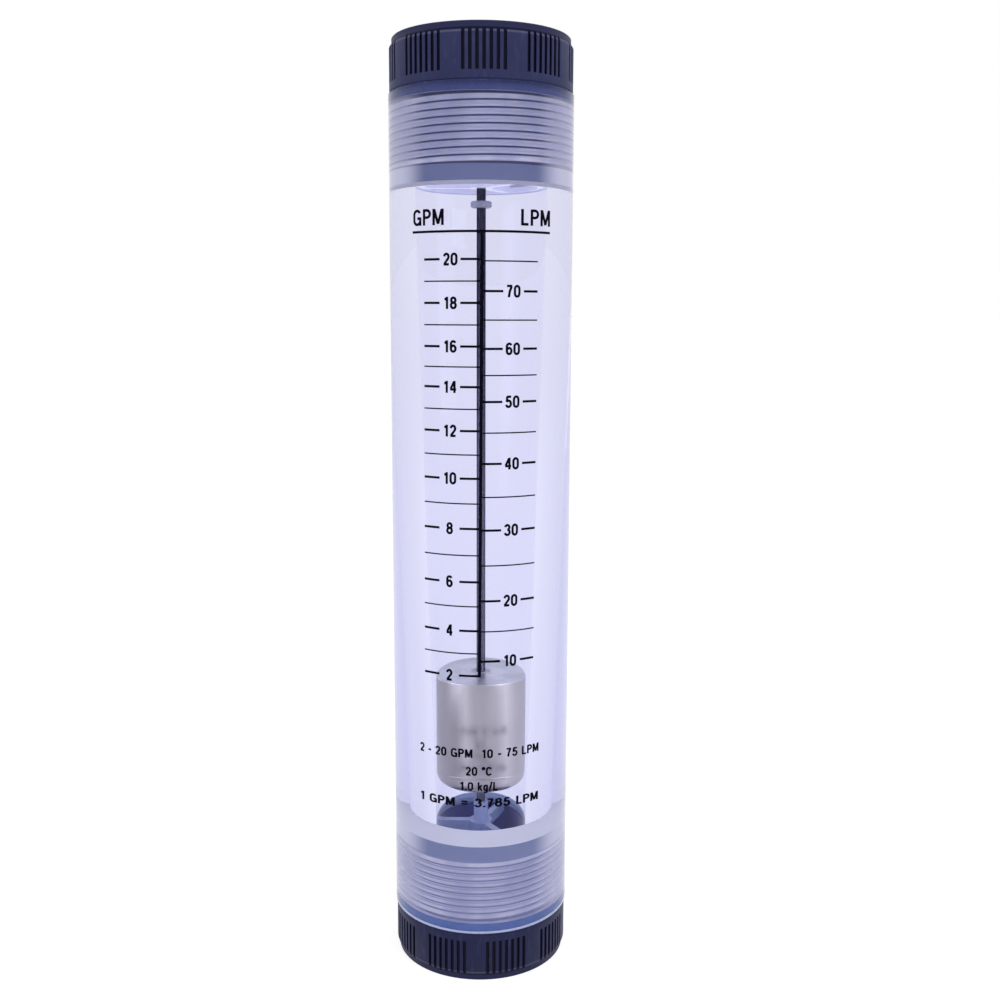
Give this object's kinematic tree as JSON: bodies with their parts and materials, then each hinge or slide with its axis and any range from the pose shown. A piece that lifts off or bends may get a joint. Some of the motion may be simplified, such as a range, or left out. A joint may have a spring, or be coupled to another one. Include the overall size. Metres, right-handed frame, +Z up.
{
  "type": "rotameter",
  "caption": "In-line variable-area flow meter: tapered clear tube with a printed flow scale, a steel float on a guide rod, and ribbed screwed end fittings.",
  "frame": {"origin": "middle of the lower end fitting's outer face, which is the bottom of the box", "axes": "+Z up along the tube, the way the water flows and the float rises; the printed scale faces -Y, with litres towards +X"},
  "size_m": [0.06, 0.06, 0.308],
  "materials": {
    "acrylic": "clear polished acrylic",
    "fitting_plastic": "moulded satin, dark blue grey",
    "float_steel": "turned and brushed",
    "rod_steel": "drawn",
    "fastener_steel": "machined",
    "holder_plastic": "moulded, nearly clear",
    "collar_nylon": "milky",
    "bush_plastic": "turned",
    "rubber": "moulded"
  },
  "bodies": {
    "tube": {"metering_tube": "acrylic", "guide_rod": "rod_steel", "upper_rod_holder": "holder_plastic", "lower_rod_holder": "holder_plastic", "upper_rod_washer": "fastener_steel", "lower_rod_washer": "fastener_steel", "upper_rod_nut": "fastener_steel", "lower_rod_nut": "fastener_steel", "upper_cushion_ring": "rubber", "lower_cushion_ring": "rubber", "upper_stop_collar": "collar_nylon", "lower_stop_collar": "collar_nylon"},
    "float": {"float_body": "float_steel", "float_upper_bush": "bush_plastic", "float_lower_bush": "bush_plastic"},
    "upper_seal": {"upper_seal_ring": "rubber"},
    "upper_fitting": {"upper_end_fitting": "fitting_plastic"},
    "lower_seal": {"lower_seal_ring": "rubber"},
    "lower_fitting": {"lower_end_fitting": "fitting_plastic"}
  },
  "joints": [
    {"name": "float_rise", "type": "slide", "parent": "tube", "child": "float", "axis": [0, 0, 1], "range_m": [0, 0.155]},
    {"name": "upper_seal_lift", "type": "slide", "parent": "tube", "child": "upper_seal", "axis": [0, 0, 1], "range_m": [0, 0.0208]},
    {"name": "upper_fitting_turn", "type": "hinge", "parent": "upper_seal", "child": "upper_fitting", "pos_m": [0, 0, 0.291], "axis": [0, 0, 1], "range_deg": [0, 3240]},
    {"name": "lower_seal_drop", "type": "slide", "parent": "tube", "child": "lower_seal", "axis": [0, 0, -1], "range_m": [0, 0.0208]},
    {"name": "lower_fitting_turn", "type": "hinge", "parent": "lower_seal", "child": "lower_fitting", "pos_m": [0, 0, 0.017], "axis": [0, 0, -1], "range_deg": [0, 3240]}
  ],
  "couplings": [
    {"joint": "upper_seal_lift", "follows": "upper_fitting_turn", "m_per_rad": 0.00036749},
    {"joint": "lower_seal_drop", "follows": "lower_fitting_turn", "m_per_rad": 0.00036749}
  ]
}
